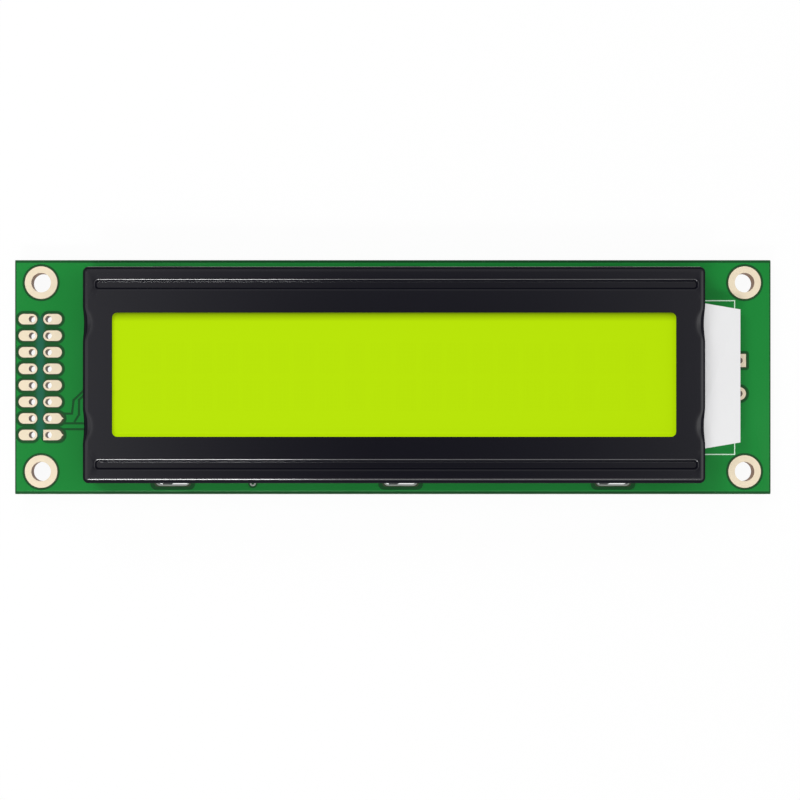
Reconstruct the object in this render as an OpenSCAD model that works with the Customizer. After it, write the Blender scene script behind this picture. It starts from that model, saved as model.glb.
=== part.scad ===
// Character LCD module, 20 characters by 2 lines: a yellow-green display under a stamped
// steel bezel, lit from its right end, on a green board with a header at its left end.
//
// X runs along the board, Y across it and +Z out of the display. The origin is the centre
// of the four mounting holes, on the back of the board. The module lies on its back.

/* [LCD cell] */
// Length of both glass plates
glass_l = 90.8; // [88:0.1:93]
// Width of the front glass, which overhangs the rear glass on both sides
front_glass_w = 30.3; // [29.8:0.1:31.2]
// Thickness of one glass plate
glass_t = 1.1; // [0.7:0.05:1.2]
// Gap between the plates, which the liquid crystal fills
cell_gap = 0.05; // [0.03:0.01:0.1]
// Width of the seal line that joins the plates
seal_w = 1.2; // [0.8:0.1:2]
// Distance from the rear glass's edge to the seal
seal_inset = 0.3; // [0.1:0.05:0.8]
// Thickness of each polarizer film
polarizer_t = 0.2; // [0.12:0.01:0.24]
// Distance from the rear glass's edge to the polarizers
polarizer_inset = 0.5; // [0.3:0.1:1]

/* [Contact strips] */
// Width of a rubber contact strip
strip_w = 2; // [1.6:0.1:2.2]
// Length of a contact strip
strip_l = 84; // [60:0.5:87]
// Distance from the front glass's edge to the middle of the strip
strip_inset = 1.75; // [1.5:0.05:2]
// Gap between a strip and the rear glass
strip_gap = 0.4; // [0.2:0.05:0.8]

/* [Bezel] */
// Thickness of the steel sheet
sheet_t = 0.5; // [0.4:0.05:0.6]
// Inner radius of the folds
fold_r = 0.2; // [0.1:0.05:0.4]
// Gap between the glass and the bezel's walls
glass_gap = 0.5; // [0.4:0.05:0.8]
// Length of the viewing window
window_l = 83.8; // [76:0.1:86]
// Width of the viewing window
window_w = 18.45; // [15:0.05:21]
// Corner radius of the viewing window
window_r = 0.75; // [0.4:0.05:2]
// Width of a pressed bead, which holds the glass down on a contact strip
bead_w = 1.66; // [1.4:0.02:1.9]
// Depth of a bead
bead_depth = 0.35; // [0.3:0.01:0.4]
// Radius of a bead's rims and of the foot of its wall
bead_round = 0.15; // [0.08:0.01:0.15]
// Distance from the bezel's left end to the beads
bead_left = 1.8; // [1.2:0.1:4]
// Distance from the bezel's right end to the beads
bead_right = 1.05; // [1.05:0.05:4]
// Diameter of the locating dimples in the end walls
dimple_d = 5.2; // [3:0.1:6]
// Distance of each dimple from the middle of the end wall
dimple_y = 7.6; // [5:0.1:9]
// Gap between a dimple and the end of the glass
dimple_gap = 0.15; // [0.05:0.01:0.25]

/* [Lock tabs] */
// Width of a lock tab
tab_w = 4.2; // [2.5:0.1:4.6]
// How far a tab reaches through the back of the board
tab_reach = 1.2; // [0.8:0.1:1.5]
// How much narrower a tab is at its tip, on each side
tab_taper = 0.4; // [0.1:0.05:0.8]
// Angle that the tab's end is twisted by
tab_twist = 30; // [15:1:45]
// Distance of the outer tabs from the middle of the bezel
tab_spacing = 33.8; // [28:0.1:38]
// Distance of the middle tabs from the middle of the bezel
tab_shift = 1.2; // [-3:0.1:3]
// Gap between a tab's faces and its slot
slot_gap_side = 0.35; // [0.15:0.05:0.4]
// Gap between a tab's edges and the ends of its slot
slot_gap_end = 0.35; // [0.15:0.05:0.6]
// Width of the tinned land round a slot
slot_land = 0.2; // [0.15:0.05:0.4]

/* [Backlight] */
// Thickness of the backlight, from the lands that it lies on to the rear polarizer
backlight_t = 3.25; // [2.8:0.05:4]
// Gap between the backlight and the contact strips
backlight_gap = 1.1; // [0.6:0.1:2]
// Gap between the backlight's closed end and the bezel's left wall
backlight_end_gap = 0.9; // [0.6:0.1:2]
// How far the lamp end stands out of the bezel
lamp_reach = 6; // [5:0.1:7]
// Width of the lamp end at its tip
lamp_tip_w = 20.1; // [17:0.1:22]
// How far inside the bezel's right end the lamp end starts to taper
taper_inset = 1.4; // [0.6:0.1:3]
// Thickness of the white reflector film and of the diffuser
film_t = 0.25; // [0.15:0.05:0.4]
// How far inside the bezel's right end the lamp end's cover starts
cover_inset = 2.4; // [1.5:0.1:3]
// Gap between the backlight and its opening in the bezel's right wall
mouth_gap = 0.15; // [0.1:0.05:0.3]
// Thickness of the lamp board
lamp_board_t = 0.8; // [0.6:0.1:1]
// Length of the lamp board
lamp_board_l = 16; // [15.2:0.1:16.6]
// Number of lamps
lamp_count = 4; // [2:1:5]
// Distance between neighbouring lamps
lamp_pitch = 3.6; // [3:0.1:3.6]
// Length of a lamp
lamp_l = 2.2; // [1.6:0.1:2.6]
// Height of a lamp
lamp_h = 1.6; // [1:0.1:1.8]
// Depth of a lamp, from the lamp board to its face
lamp_d = 0.8; // [0.6:0.1:1]
// Gap between the lamps and the light guide
lamp_gap = 0.2; // [0.1:0.05:0.4]
// Diameter of a lamp lead
lead_d = 0.5; // [0.4:0.05:0.6]
// Distance between the two lamp leads
lead_pitch = 11.2; // [10.2:0.1:13]
// How far a lead reaches through the back of the board
lead_reach = 1.1; // [0.9:0.1:1.4]
// Gap round a lead in its holes
lead_gap = 0.15; // [0.1:0.01:0.2]
// Width of the land round a lead's hole
lead_land = 0.35; // [0.25:0.05:0.5]
// Length of bare lead past its solder
lead_tip = 0.2; // [0.1:0.05:0.4]
// Thickness of the solder where it ends on a lead
solder_skin = 0.08; // [0.05:0.01:0.15]

/* [Board] */
// Thickness of the board
board_t = 1.6; // [1:0.1:2]
// Length of the board past each end of the bezel
board_end = 11.6; // [11.4:0.1:16]
// Width of the board past each side of the bezel
board_edge = 1.85; // [1.2:0.05:5]
// Width of the scored edge along the board's long sides
score_w = 0.25; // [0.1:0.05:0.3]
// Depth of the scored edge on each face
score_d = 0.45; // [0.2:0.05:0.6]
// Thickness of a copper land
land_t = 0.05; // [0.03:0.01:0.1]
// Thickness of the plating inside a hole
plating_t = 0.05; // [0.03:0.01:0.1]

/* [Mounting holes] */
// Diameter of a mounting hole
hole_d = 3; // [2.4:0.1:3.4]
// Diameter of the land round a mounting hole
hole_land_d = 5; // [4.2:0.1:5.4]
// Distance from the board's end to a mounting hole
hole_end = 4; // [3:0.1:4.6]
// Distance from the board's side to a mounting hole
hole_edge = 3.5; // [2.8:0.1:4]

/* [Header] */
// Number of rows in the two-column header
pin_rows = 8; // [5:1:8]
// Distance between neighbouring pins, along and across
pin_pitch = 2.54; // [2.3:0.01:2.56]
// Diameter of a header hole
pin_hole_d = 1; // [0.7:0.05:1.1]
// Length of a header land
pin_land_l = 2.85; // [2.2:0.05:3]
// Width of a header land
pin_land_w = 1.6; // [1.4:0.05:1.8]
// Distance from the board's left end to the outer column
pin_end = 2.6; // [2.4:0.05:3]
// How far the point of the lands at pins 1 and 3 stands out
pin_point = 0.25; // [0.1:0.05:0.4]

/* [Backlight terminals] */
// Distance between the two terminals
terminal_pitch = 5.08; // [4:0.01:5.4]
// Diameter of a terminal's hole
terminal_hole_d = 1; // [0.7:0.05:1.2]
// Width of a terminal's land
terminal_land_w = 2; // [1.6:0.05:2.2]
// Distance from the lamp end's tip to the terminals
terminal_gap = 0.8; // [0.7:0.05:2]

/* [Back of the board] */
// Diameter of the resin dome over the controller
controller_dome_d = 13.4; // [10:0.1:15]
// Diameter of the resin domes over the two segment drivers
driver_dome_d = 11.4; // [9:0.1:13]
// Height of the resin domes
dome_h = 1.8; // [1.4:0.1:2]
// Distance between neighbouring domes
dome_pitch = 31; // [26:0.5:34]
// How far the controller's dome lies from the middle line
controller_shift = -1.5; // [-4:0.5:4]
// How far the segment drivers' domes lie from the middle line
driver_shift = 1; // [-4:0.5:4]
// Length of a chip resistor or capacitor
chip_l = 2; // [1.6:0.1:2.2]
// Width of a chip resistor or capacitor
chip_w = 1.25; // [0.8:0.05:1.4]
// Height of a chip resistor
resistor_h = 0.55; // [0.3:0.05:0.8]
// Height of a chip capacitor
capacitor_h = 0.9; // [0.5:0.05:1.2]
// Distance from the lamp leads to their series resistors
lead_resistor_gap = 5; // [3:0.1:6]
// Distance from the header to the two supply capacitors
header_capacitor_gap = 6.5; // [4.5:0.1:8]
// Number of resistors in the bias ladder
ladder_count = 6; // [2:1:6]
// Distance between neighbouring resistors
ladder_pitch = 2.6; // [2.2:0.1:3]

/* [Hidden] */
$fn = 64;
cut = 1; // how far a cutter runs past the face that it opens

// Radius of the ball whose cap has this diameter and height
function ball_r(d, h) = (pow(d / 2, 2) + pow(h, 2)) / (2 * h);

// Heights, from the back of the board upwards
land_top = board_t + land_t; // the bezel and the backlight both stand on the lands
backlight_top = land_top + backlight_t;
rear_glass_z = backlight_top + polarizer_t;
cell_z = rear_glass_z + glass_t;
front_glass_z = cell_z + cell_gap;
front_glass_top = front_glass_z + glass_t;
face_under = front_glass_top + bead_depth;
face_top = face_under + sheet_t;

// Bezel, from the glass that it holds
cavity_l = glass_l + 2 * glass_gap;
cavity_w = front_glass_w + 2 * glass_gap;
bezel_l = cavity_l + 2 * sheet_t;
bezel_w = cavity_w + 2 * sheet_t;
tab_y = (bezel_w - sheet_t) / 2;
tab_places = [-tab_spacing, tab_shift, tab_spacing];
dimple_depth = glass_gap - dimple_gap;
dimple_r = ball_r(dimple_d, dimple_depth);

// Contact strips under the beads, and the plates between them
strip_y = front_glass_w / 2 - strip_inset;
rear_glass_w = 2 * (strip_y - strip_w / 2 - strip_gap);
polarizer_l = glass_l - 2 * polarizer_inset;
polarizer_w = rear_glass_w - 2 * polarizer_inset;

// Backlight
backlight_w = 2 * (strip_y - strip_w / 2 - backlight_gap);
backlight_left = -cavity_l / 2 + backlight_end_gap;
taper_x = bezel_l / 2 - taper_inset;
cover_x = bezel_l / 2 - cover_inset;
tip_x = bezel_l / 2 + lamp_reach;
guide_z = land_top + film_t;
guide_t = backlight_t - 2 * film_t;
lamp_board_x = tip_x - film_t - lamp_board_t;
lamp_x = lamp_board_x - lamp_d;
guide_right = lamp_x - lamp_gap;
lead_x = lamp_board_x + lamp_board_t / 2;
lead_hole_d = lead_d + 2 * lead_gap;

// Board and its holes
board_l = bezel_l + 2 * board_end;
board_w = bezel_w + 2 * board_edge;
hole_x = board_l / 2 - hole_end;
hole_y = board_w / 2 - hole_edge;
slot_l = tab_w + 2 * slot_gap_end;
slot_w = sheet_t + 2 * slot_gap_side;
outer_column_x = -board_l / 2 + pin_end;
inner_column_x = outer_column_x + pin_pitch;
first_row_y = -pin_pitch * (pin_rows - 1) / 2;
terminal_x = tip_x + terminal_gap;
lead_land_d = lead_hole_d + 2 * lead_land;

// ---- Shared shapes ----

// A rectangle with round corners
module round_rect(l, w, r) {
    square([l - 2 * r, w], center = true);
    square([l, w - 2 * r], center = true);
    for (x = [-1, 1], y = [-1, 1])
        translate([x * (l / 2 - r), y * (w / 2 - r)])
            circle(r);
}

// A slot's outline, straight along X with round ends
module obround(l, w) {
    square([l - w, w], center = true);
    for (x = [-1, 1])
        translate([x * (l - w) / 2, 0])
            circle(d = w);
}

// A flat block centred on the Z axis
module slab(l, w, t, z = 0) {
    translate([-l / 2, -w / 2, z])
        cube([l, w, t]);
}

// A block whose top edges and upright corners are all rounded by r, like a pressed lid
module lid_form(l, w, z_low, z_high, r) {
    z_round = z_high - r;
    translate([0, 0, z_low])
        linear_extrude(z_round - z_low)
            round_rect(l, w, r);
    slab(l - 2 * r, w - 2 * r, r, z_round);
    for (y = [-1, 1])
        translate([0, y * (w / 2 - r), z_round])
            rotate([0, 90, 0])
                cylinder(r = r, h = l - 2 * r, center = true);
    for (x = [-1, 1])
        translate([x * (l / 2 - r), 0, z_round])
            rotate([90, 0, 0])
                cylinder(r = r, h = w - 2 * r, center = true);
    for (x = [-1, 1], y = [-1, 1])
        translate([x * (l / 2 - r), y * (w / 2 - r), z_round])
            sphere(r);
}

// Sweeps a half section along a straight line and round both of its ends.
// In the section, X is the distance from the line and Y the height.
module round_ended(l) {
    for (turn = [0, 180])
        rotate([0, 0, turn])
            rotate([90, 0, 90])
                linear_extrude(l, center = true)
                    children();
    for (x = [-1, 1])
        translate([x * l / 2, 0, 0])
            rotate_extrude()
                children();
}

// A plated hole at the origin: its barrel, and a land of the child's outline on each face
module plated_hole(d) {
    difference() {
        union() {
            for (z = [-land_t, board_t])
                translate([0, 0, z])
                    linear_extrude(land_t)
                        children();
            translate([0, 0, -land_t])
                cylinder(d = d + 2 * plating_t, h = board_t + 2 * land_t);
        }
        translate([0, 0, -cut])
            cylinder(d = d, h = board_t + 2 * cut);
    }
}

// ---- Places ----

module at_mounting_holes() {
    for (x = [-hole_x, hole_x], y = [-hole_y, hole_y])
        translate([x, y, 0])
            children();
}

module at_header_holes() {
    for (x = [outer_column_x, inner_column_x], row = [0 : pin_rows - 1])
        translate([x, first_row_y + row * pin_pitch, 0])
            children();
}

module at_terminals() {
    for (y = [-0.5, 0.5])
        translate([terminal_x, y * terminal_pitch, 0])
            children();
}

module at_leads() {
    for (y = [-0.5, 0.5])
        translate([lead_x, y * lead_pitch, 0])
            children();
}

module at_tabs() {
    for (x = tab_places, side = [-1, 1])
        translate([x, side * tab_y, 0])
            children();
}

// ---- Circuit board ----

// Section across the board, with the rough V-shaped edges left where the panel was snapped
module board_section() {
    w = board_w / 2;
    polygon([
        [-w + score_w, 0], [w - score_w, 0], [w, score_d], [w, board_t - score_d],
        [w - score_w, board_t], [-w + score_w, board_t], [-w, board_t - score_d],
        [-w, score_d]
    ]);
}

module through_hole(d) {
    translate([0, 0, -cut])
        cylinder(d = d + 2 * plating_t, h = board_t + 2 * cut);
}

module circuit_board() {
    color([0.13, 0.5, 0.24])
    difference() {
        rotate([90, 0, 90])
            linear_extrude(board_l, center = true)
                board_section();
        at_mounting_holes()
            through_hole(hole_d);
        at_header_holes()
            through_hole(pin_hole_d);
        at_terminals()
            through_hole(terminal_hole_d);
        at_leads()
            through_hole(lead_hole_d);
        at_tabs()
            translate([0, 0, -cut])
                linear_extrude(board_t + 2 * cut)
                    obround(slot_l + 2 * plating_t, slot_w + 2 * plating_t);
    }
}

module mounting_lands() {
    color([0.96, 0.89, 0.76])
    at_mounting_holes()
        plated_hole(hole_d)
            circle(d = hole_land_d);
}

// Outline of a header land that runs towards +X from its hole.
// A square start marks pin 1, and a point at the far end leads into a track.
module header_land_outline(square_start = false, pointed = false) {
    r = pin_land_w / 2;
    far = pin_land_l - 2 * r;
    circle(r);
    translate([0, -r])
        square([far, pin_land_w]);
    translate([far, 0])
        circle(r);
    if (square_start)
        translate([-r, -r])
            square([r, pin_land_w]);
    if (pointed)
        polygon([[far, -r], [far + r + pin_point, 0], [far, r]]);
}

module header_lands() {
    color([0.96, 0.89, 0.76])
    for (row = [0 : pin_rows - 1]) {
        y = first_row_y + row * pin_pitch;
        translate([outer_column_x, y, 0])
            plated_hole(pin_hole_d)
                mirror([1, 0])
                    header_land_outline();
        translate([inner_column_x, y, 0])
            plated_hole(pin_hole_d)
                header_land_outline(square_start = row == 0, pointed = row < 2);
    }
}

// The anode's land is square, the cathode's is round, and the lamp leads have small ones
module terminal_lands() {
    color([0.92, 0.85, 0.76]) {
        translate([terminal_x, terminal_pitch / 2, 0])
            plated_hole(terminal_hole_d)
                square(terminal_land_w, center = true);
        translate([terminal_x, -terminal_pitch / 2, 0])
            plated_hole(terminal_hole_d)
                circle(d = terminal_land_w);
        at_leads()
            plated_hole(lead_hole_d)
                circle(d = lead_land_d);
    }
}

module slot_lands() {
    land_l = slot_l + 2 * slot_land;
    land_w = slot_w + 2 * slot_land;
    color([0.72, 0.74, 0.72])
    at_tabs()
        difference() {
            union() {
                for (z = [-land_t, board_t])
                    translate([0, 0, z])
                        linear_extrude(land_t)
                            obround(land_l, land_w);
                translate([0, 0, -land_t])
                    linear_extrude(board_t + 2 * land_t)
                        obround(slot_l + 2 * plating_t, slot_w + 2 * plating_t);
            }
            translate([0, 0, -cut])
                linear_extrude(board_t + 2 * cut)
                    obround(slot_l, slot_w);
        }
}

// ---- Bezel ----

// Half section of the groove that a bead leaves in the face, from its floor upwards
module bead_groove_section() {
    half = bead_w / 2;
    rim = bead_depth - bead_round;
    square([half - bead_round, bead_depth + cut]);
    translate([0, bead_round])
        square([half, bead_depth - bead_round + cut]);
    translate([half - bead_round, bead_round])
        circle(bead_round);
    difference() {
        translate([half, rim])
            square([bead_round, bead_round + cut]);
        translate([half + bead_round, rim])
            circle(bead_round);
    }
}

// Half section of the ridge that the same bead makes under the sheet
module bead_ridge_section() {
    foot = bead_w / 2 - bead_round;
    translate([0, -sheet_t])
        square([foot, bead_depth]);
    intersection() {
        translate([foot, bead_round])
            circle(bead_round + sheet_t);
        translate([foot, -sheet_t])
            square([bead_round + sheet_t, bead_depth]);
    }
}

module at_beads() {
    left = -bezel_l / 2 + bead_left;
    right = bezel_l / 2 - bead_right;
    for (side = [-1, 1])
        translate([(left + right) / 2, side * strip_y, face_top - bead_depth])
            round_ended(right - left - bead_w)
                children();
}

// Large balls that press shallow dimples into the end walls, level with the front glass
module dimple_tools(r) {
    for (x = [-1, 1], y = [-1, 1])
        translate([x * (bezel_l / 2 - dimple_depth + dimple_r), y * dimple_y, front_glass_top])
            sphere(r, $fn = 160);
}

// A tab goes straight through the board, and its end is twisted behind it
module lock_tab() {
    half = tab_w / 2;
    translate([-half, -sheet_t / 2, -land_t])
        cube([tab_w, sheet_t, land_top + sheet_t + land_t]);
    rotate([90, 0, tab_twist])
        linear_extrude(sheet_t, center = true)
            polygon([
                [-half, -land_t], [-half + tab_taper, -tab_reach],
                [half - tab_taper, -tab_reach], [half, -land_t]
            ]);
}

module bezel() {
    color([0.14, 0.14, 0.16])
    difference() {
        union() {
            difference() {
                lid_form(bezel_l, bezel_w, land_top, face_top, fold_r + sheet_t);
                difference() {
                    lid_form(cavity_l, cavity_w, land_top - cut, face_under, fold_r);
                    dimple_tools(dimple_r + sheet_t);
                }
            }
            at_beads()
                bead_ridge_section();
            at_tabs()
                lock_tab();
        }
        at_beads()
            bead_groove_section();
        dimple_tools(dimple_r);
        translate([0, 0, face_under - cut])
            linear_extrude(sheet_t + 2 * cut)
                round_rect(window_l, window_w, window_r);
        translate([cavity_l / 2 - cut, -backlight_w / 2 - mouth_gap, land_top - cut])
            cube([sheet_t + 2 * cut, backlight_w + 2 * mouth_gap,
                  backlight_top + mouth_gap - land_top + cut]);
    }
}

// ---- LCD cell ----

module front_polarizer() {
    color([0.72, 0.9, 0])
    slab(polarizer_l, polarizer_w, polarizer_t, front_glass_top);
}

module front_glass() {
    color([0.75, 0.85, 0.8])
    slab(glass_l, front_glass_w, glass_t, front_glass_z);
}

module cell_seal() {
    color([0.85, 0.82, 0.7])
    difference() {
        slab(glass_l - 2 * seal_inset, rear_glass_w - 2 * seal_inset, cell_gap, cell_z);
        slab(glass_l - 2 * (seal_inset + seal_w), rear_glass_w - 2 * (seal_inset + seal_w),
             cell_gap + 2 * cut, cell_z - cut);
    }
}

module liquid_crystal() {
    color([0.8, 0.88, 0.5])
    slab(glass_l - 2 * (seal_inset + seal_w), rear_glass_w - 2 * (seal_inset + seal_w),
         cell_gap, cell_z);
}

module rear_glass() {
    color([0.75, 0.85, 0.8])
    slab(glass_l, rear_glass_w, glass_t, rear_glass_z);
}

module rear_polarizer() {
    color([0.66, 0.74, 0.4])
    slab(polarizer_l, polarizer_w, polarizer_t, backlight_top);
}

module contact_strip(side) {
    translate([0, side * strip_y, 0])
        slab(strip_l, strip_w, front_glass_z - board_t, board_t);
}

module upper_contact_strip() {
    color([0.9, 0.86, 0.84])
    contact_strip(1);
}

module lower_contact_strip() {
    color([0.9, 0.86, 0.84])
    contact_strip(-1);
}

// ---- Backlight ----

// Outline of the backlight, drawn in from its edges by inset
module backlight_outline(inset = 0) {
    body = backlight_w / 2 - inset;
    tip = lamp_tip_w / 2 - inset;
    polygon([
        [backlight_left + inset, -body], [taper_x, -body], [tip_x - inset, -tip],
        [tip_x - inset, tip], [taper_x, body], [backlight_left + inset, body]
    ]);
}

module film_layer(z, t, inset = 0) {
    translate([0, 0, z])
        linear_extrude(t)
            backlight_outline(inset);
}

// White film folded round the guide: open over the display, closed over the lamp end
module reflector() {
    color([0.92, 0.92, 0.93])
    difference() {
        film_layer(land_top, backlight_t);
        film_layer(guide_z, guide_t, film_t);
        intersection() {
            film_layer(guide_z, backlight_t, film_t);
            translate([cover_x - board_l, -board_w / 2, 0])
                cube([board_l, board_w, backlight_top + cut]);
        }
        at_leads()
            translate([0, 0, land_top - cut])
                cylinder(d = lead_hole_d, h = film_t + 2 * cut);
    }
}

module light_guide() {
    color([0.86, 0.92, 0.9])
    intersection() {
        film_layer(guide_z, guide_t, film_t);
        translate([guide_right - board_l, -board_w / 2, 0])
            cube([board_l, board_w, backlight_top]);
    }
}

module diffuser() {
    color([0.97, 0.97, 0.95])
    intersection() {
        film_layer(guide_z + guide_t, film_t, film_t);
        translate([cover_x - board_l, -board_w / 2, 0])
            cube([board_l, board_w, backlight_top + cut]);
    }
}

module lamp_board() {
    color([0.9, 0.9, 0.86])
    translate([lamp_board_x, -lamp_board_l / 2, guide_z])
        cube([lamp_board_t, lamp_board_l, guide_t]);
}

module lamps() {
    color([0.95, 0.9, 0.6])
    for (i = [0 : lamp_count - 1])
        translate([lamp_x, (i - (lamp_count - 1) / 2) * lamp_pitch - lamp_l / 2,
                   guide_z + (guide_t - lamp_h) / 2])
            cube([lamp_d, lamp_l, lamp_h]);
}

module lamp_leads() {
    color([0.75, 0.75, 0.76])
    at_leads()
        translate([0, 0, -lead_reach])
            cylinder(d = lead_d, h = lead_reach + guide_z);
}

module lead_solder() {
    color([0.78, 0.78, 0.8])
    at_leads()
        translate([0, 0, -lead_reach + lead_tip])
            difference() {
                cylinder(d1 = lead_d + 2 * solder_skin, d2 = lead_land_d,
                         h = lead_reach - lead_tip - land_t);
                translate([0, 0, -cut])
                    cylinder(d = lead_d, h = lead_reach + 2 * cut);
            }
}

// ---- Back of the board ----

// A low cap of black resin over a bare chip
module resin_dome(x, y, d) {
    r = ball_r(d, dome_h);
    translate([x, y, 0])
        intersection() {
            translate([0, 0, r - dome_h])
                sphere(r, $fn = 200);
            translate([-d, -d, -dome_h - cut])
                cube([2 * d, 2 * d, dome_h + cut]);
        }
}

module controller_dome() {
    color([0.08, 0.08, 0.08])
    resin_dome(-dome_pitch, controller_shift, controller_dome_d);
}

module left_driver_dome() {
    color([0.08, 0.08, 0.08])
    resin_dome(0, driver_shift, driver_dome_d);
}

module right_driver_dome() {
    color([0.08, 0.08, 0.08])
    resin_dome(dome_pitch, driver_shift, driver_dome_d);
}

// A chip part that lies along X, held under the back of the board
module chip(x, y, h) {
    translate([x - chip_l / 2, y - chip_w / 2, -h])
        cube([chip_l, chip_w, h]);
}

module chip_resistors() {
    color([0.1, 0.1, 0.11]) {
        for (i = [0 : ladder_count - 1])
            chip(-dome_pitch / 2, (i - (ladder_count - 1) / 2) * ladder_pitch, resistor_h);
        for (y = [-0.5, 0.5])
            chip(lead_x - lead_resistor_gap, y * lead_pitch, resistor_h);
    }
}

module chip_capacitors() {
    color([0.66, 0.52, 0.36]) {
        for (y = [-1, 1])
            chip(inner_column_x + header_capacitor_gap, y * pin_pitch * 2, capacitor_h);
        chip(dome_pitch / 2, driver_shift, capacitor_h);
    }
}

circuit_board();
mounting_lands();
header_lands();
terminal_lands();
slot_lands();
bezel();
front_polarizer();
front_glass();
cell_seal();
liquid_crystal();
rear_glass();
rear_polarizer();
upper_contact_strip();
lower_contact_strip();
diffuser();
light_guide();
reflector();
lamp_board();
lamps();
lamp_leads();
lead_solder();
controller_dome();
left_driver_dome();
right_driver_dome();
chip_resistors();
chip_capacitors();
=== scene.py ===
from math import cos, exp, log, pi, radians, sin, sqrt

import bmesh
import bpy
from mathutils import Matrix, Vector


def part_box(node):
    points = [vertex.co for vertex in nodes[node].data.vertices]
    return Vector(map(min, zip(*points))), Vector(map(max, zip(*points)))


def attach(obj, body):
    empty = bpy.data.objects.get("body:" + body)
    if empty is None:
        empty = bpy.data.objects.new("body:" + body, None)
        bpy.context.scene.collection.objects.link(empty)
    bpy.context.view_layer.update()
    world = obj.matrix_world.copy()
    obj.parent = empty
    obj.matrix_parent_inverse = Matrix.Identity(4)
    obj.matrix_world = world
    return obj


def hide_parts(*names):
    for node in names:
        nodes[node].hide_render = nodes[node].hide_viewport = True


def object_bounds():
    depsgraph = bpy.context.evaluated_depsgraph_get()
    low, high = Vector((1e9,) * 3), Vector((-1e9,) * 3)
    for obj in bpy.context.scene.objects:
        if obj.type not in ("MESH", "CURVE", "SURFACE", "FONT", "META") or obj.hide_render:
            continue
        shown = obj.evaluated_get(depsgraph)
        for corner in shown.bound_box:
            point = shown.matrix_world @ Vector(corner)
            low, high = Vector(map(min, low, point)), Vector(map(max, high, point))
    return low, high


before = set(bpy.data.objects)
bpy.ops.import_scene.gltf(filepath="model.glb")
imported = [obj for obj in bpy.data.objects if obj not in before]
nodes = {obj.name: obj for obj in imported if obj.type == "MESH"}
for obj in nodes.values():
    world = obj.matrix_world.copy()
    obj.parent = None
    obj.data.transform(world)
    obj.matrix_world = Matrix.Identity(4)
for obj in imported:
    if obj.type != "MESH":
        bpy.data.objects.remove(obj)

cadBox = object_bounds()
scene = bpy.context.scene
mm = 0.001


# reading the frame, in millimetres

def cadCorners(node):
    low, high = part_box(node)
    return low / mm, high / mm


def cornersOf(points):
    return [Vector([pick(point[i] for point in points) for i in range(3)]) for pick in (min, max)]


def loosePlaces(node):
    # centre and size of each separate solid of a CAD node
    bm = bmesh.new()
    bm.from_mesh(nodes[node].data)
    bmesh.ops.remove_doubles(bm, verts=bm.verts, dist=1e-7)
    left = set(bm.verts)
    found = []
    while left:
        island = {left.pop()}
        newest = set(island)
        while newest:
            newest = {e.other_vert(v) for v in newest for e in v.link_edges} - island
            island |= newest
        left -= island
        low, high = cornersOf([v.co / mm for v in island])
        found.append(((low + high) / 2, high - low))
    bm.free()
    return sorted(found, key=lambda place: (round(place[0].x, 2), round(place[0].y, 2)))


def steps(low, high, count):
    return [low + (high - low) * i / count for i in range(count + 1)]


def eased(value, start, end):
    # 0 up to start, 1 from end on, and smooth in between
    t = max(0.0, min(1.0, (value - start) / (end - start)))
    return t * t * (3 - 2 * t)


# shader maths

class Wire:
    # a shader socket that can be used in sums
    def __init__(self, look, socket):
        self.look, self.socket = look, socket

    def math(self, operation, *values, clamp=False):
        return self.look.node("Math", "Value", {"operation": operation, "use_clamp": clamp},
                              dict(enumerate(values)))

    def __add__(self, other):
        return self.math("ADD", self, other)

    def __radd__(self, other):
        return self.math("ADD", other, self)

    def __sub__(self, other):
        return self.math("SUBTRACT", self, other)

    def __rsub__(self, other):
        return self.math("SUBTRACT", other, self)

    def __mul__(self, other):
        return self.math("MULTIPLY", self, other)

    def __rmul__(self, other):
        return self.math("MULTIPLY", other, self)

    def __truediv__(self, other):
        return self.math("DIVIDE", self, other)

    def __gt__(self, other):
        return self.math("GREATER_THAN", self, other)

    def __lt__(self, other):
        return self.math("LESS_THAN", self, other)

    def __abs__(self):
        return self.math("ABSOLUTE", self)

    def clamped(self):
        return self.math("ADD", self, 0, clamp=True)

    def wave(self):
        return self.math("SINE", self)

    def remainder(self, step):
        return self.math("FLOORED_MODULO", self, step)

    def highest(self, other):
        return self.math("MAXIMUM", self, other)


class NodeMaker:
    # adds nodes to a material or a world
    def __init__(self, owner):
        owner.use_nodes = True
        self.tree = owner.node_tree

    def feed(self, socket, value):
        if isinstance(value, Wire):
            self.tree.links.new(value.socket, socket)
        elif socket.type == "RGBA":
            socket.default_value = (*value[:3], 1)
        else:
            socket.default_value = value

    def setStops(self, elements, stops):
        while len(elements) < len(stops):
            elements.new(0.5)
        for element, (position, grey) in zip(elements, stops):
            element.position = position
            element.color = (grey, grey, grey, 1)

    def node(self, kind, output, settings=None, sockets=None):
        made = self.tree.nodes.new("ShaderNode" + kind)
        for name, value in (settings or {}).items():
            if name == "stops":
                self.setStops(made.color_ramp.elements, value)
            else:
                setattr(made, name, value)
        for name, value in (sockets or {}).items():
            self.feed(made.inputs[name], value)
        return Wire(self, made.outputs[output])

    def ramp(self, value, stops):
        return self.node("ValToRGB", "Color", {"stops": stops}, {"Fac": value})

    def blend(self, factor, first, second, way="MIX"):
        return self.node("Mix", 2, {"data_type": "RGBA", "blend_type": way},
                         {0: factor, 6: first, 7: second})

    def rise(self, value, start, end):
        # a soft step from 0 to 1
        return self.node("MapRange", "Result", {"interpolation_type": "SMOOTHSTEP"},
                         {"Value": value, "From Min": start, "From Max": end})

    def band(self, value, low, high, soft):
        # 1 between low and high, with soft edges
        return self.rise(value, low - soft, low + soft) * self.rise(value, high + soft, high - soft)


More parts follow.
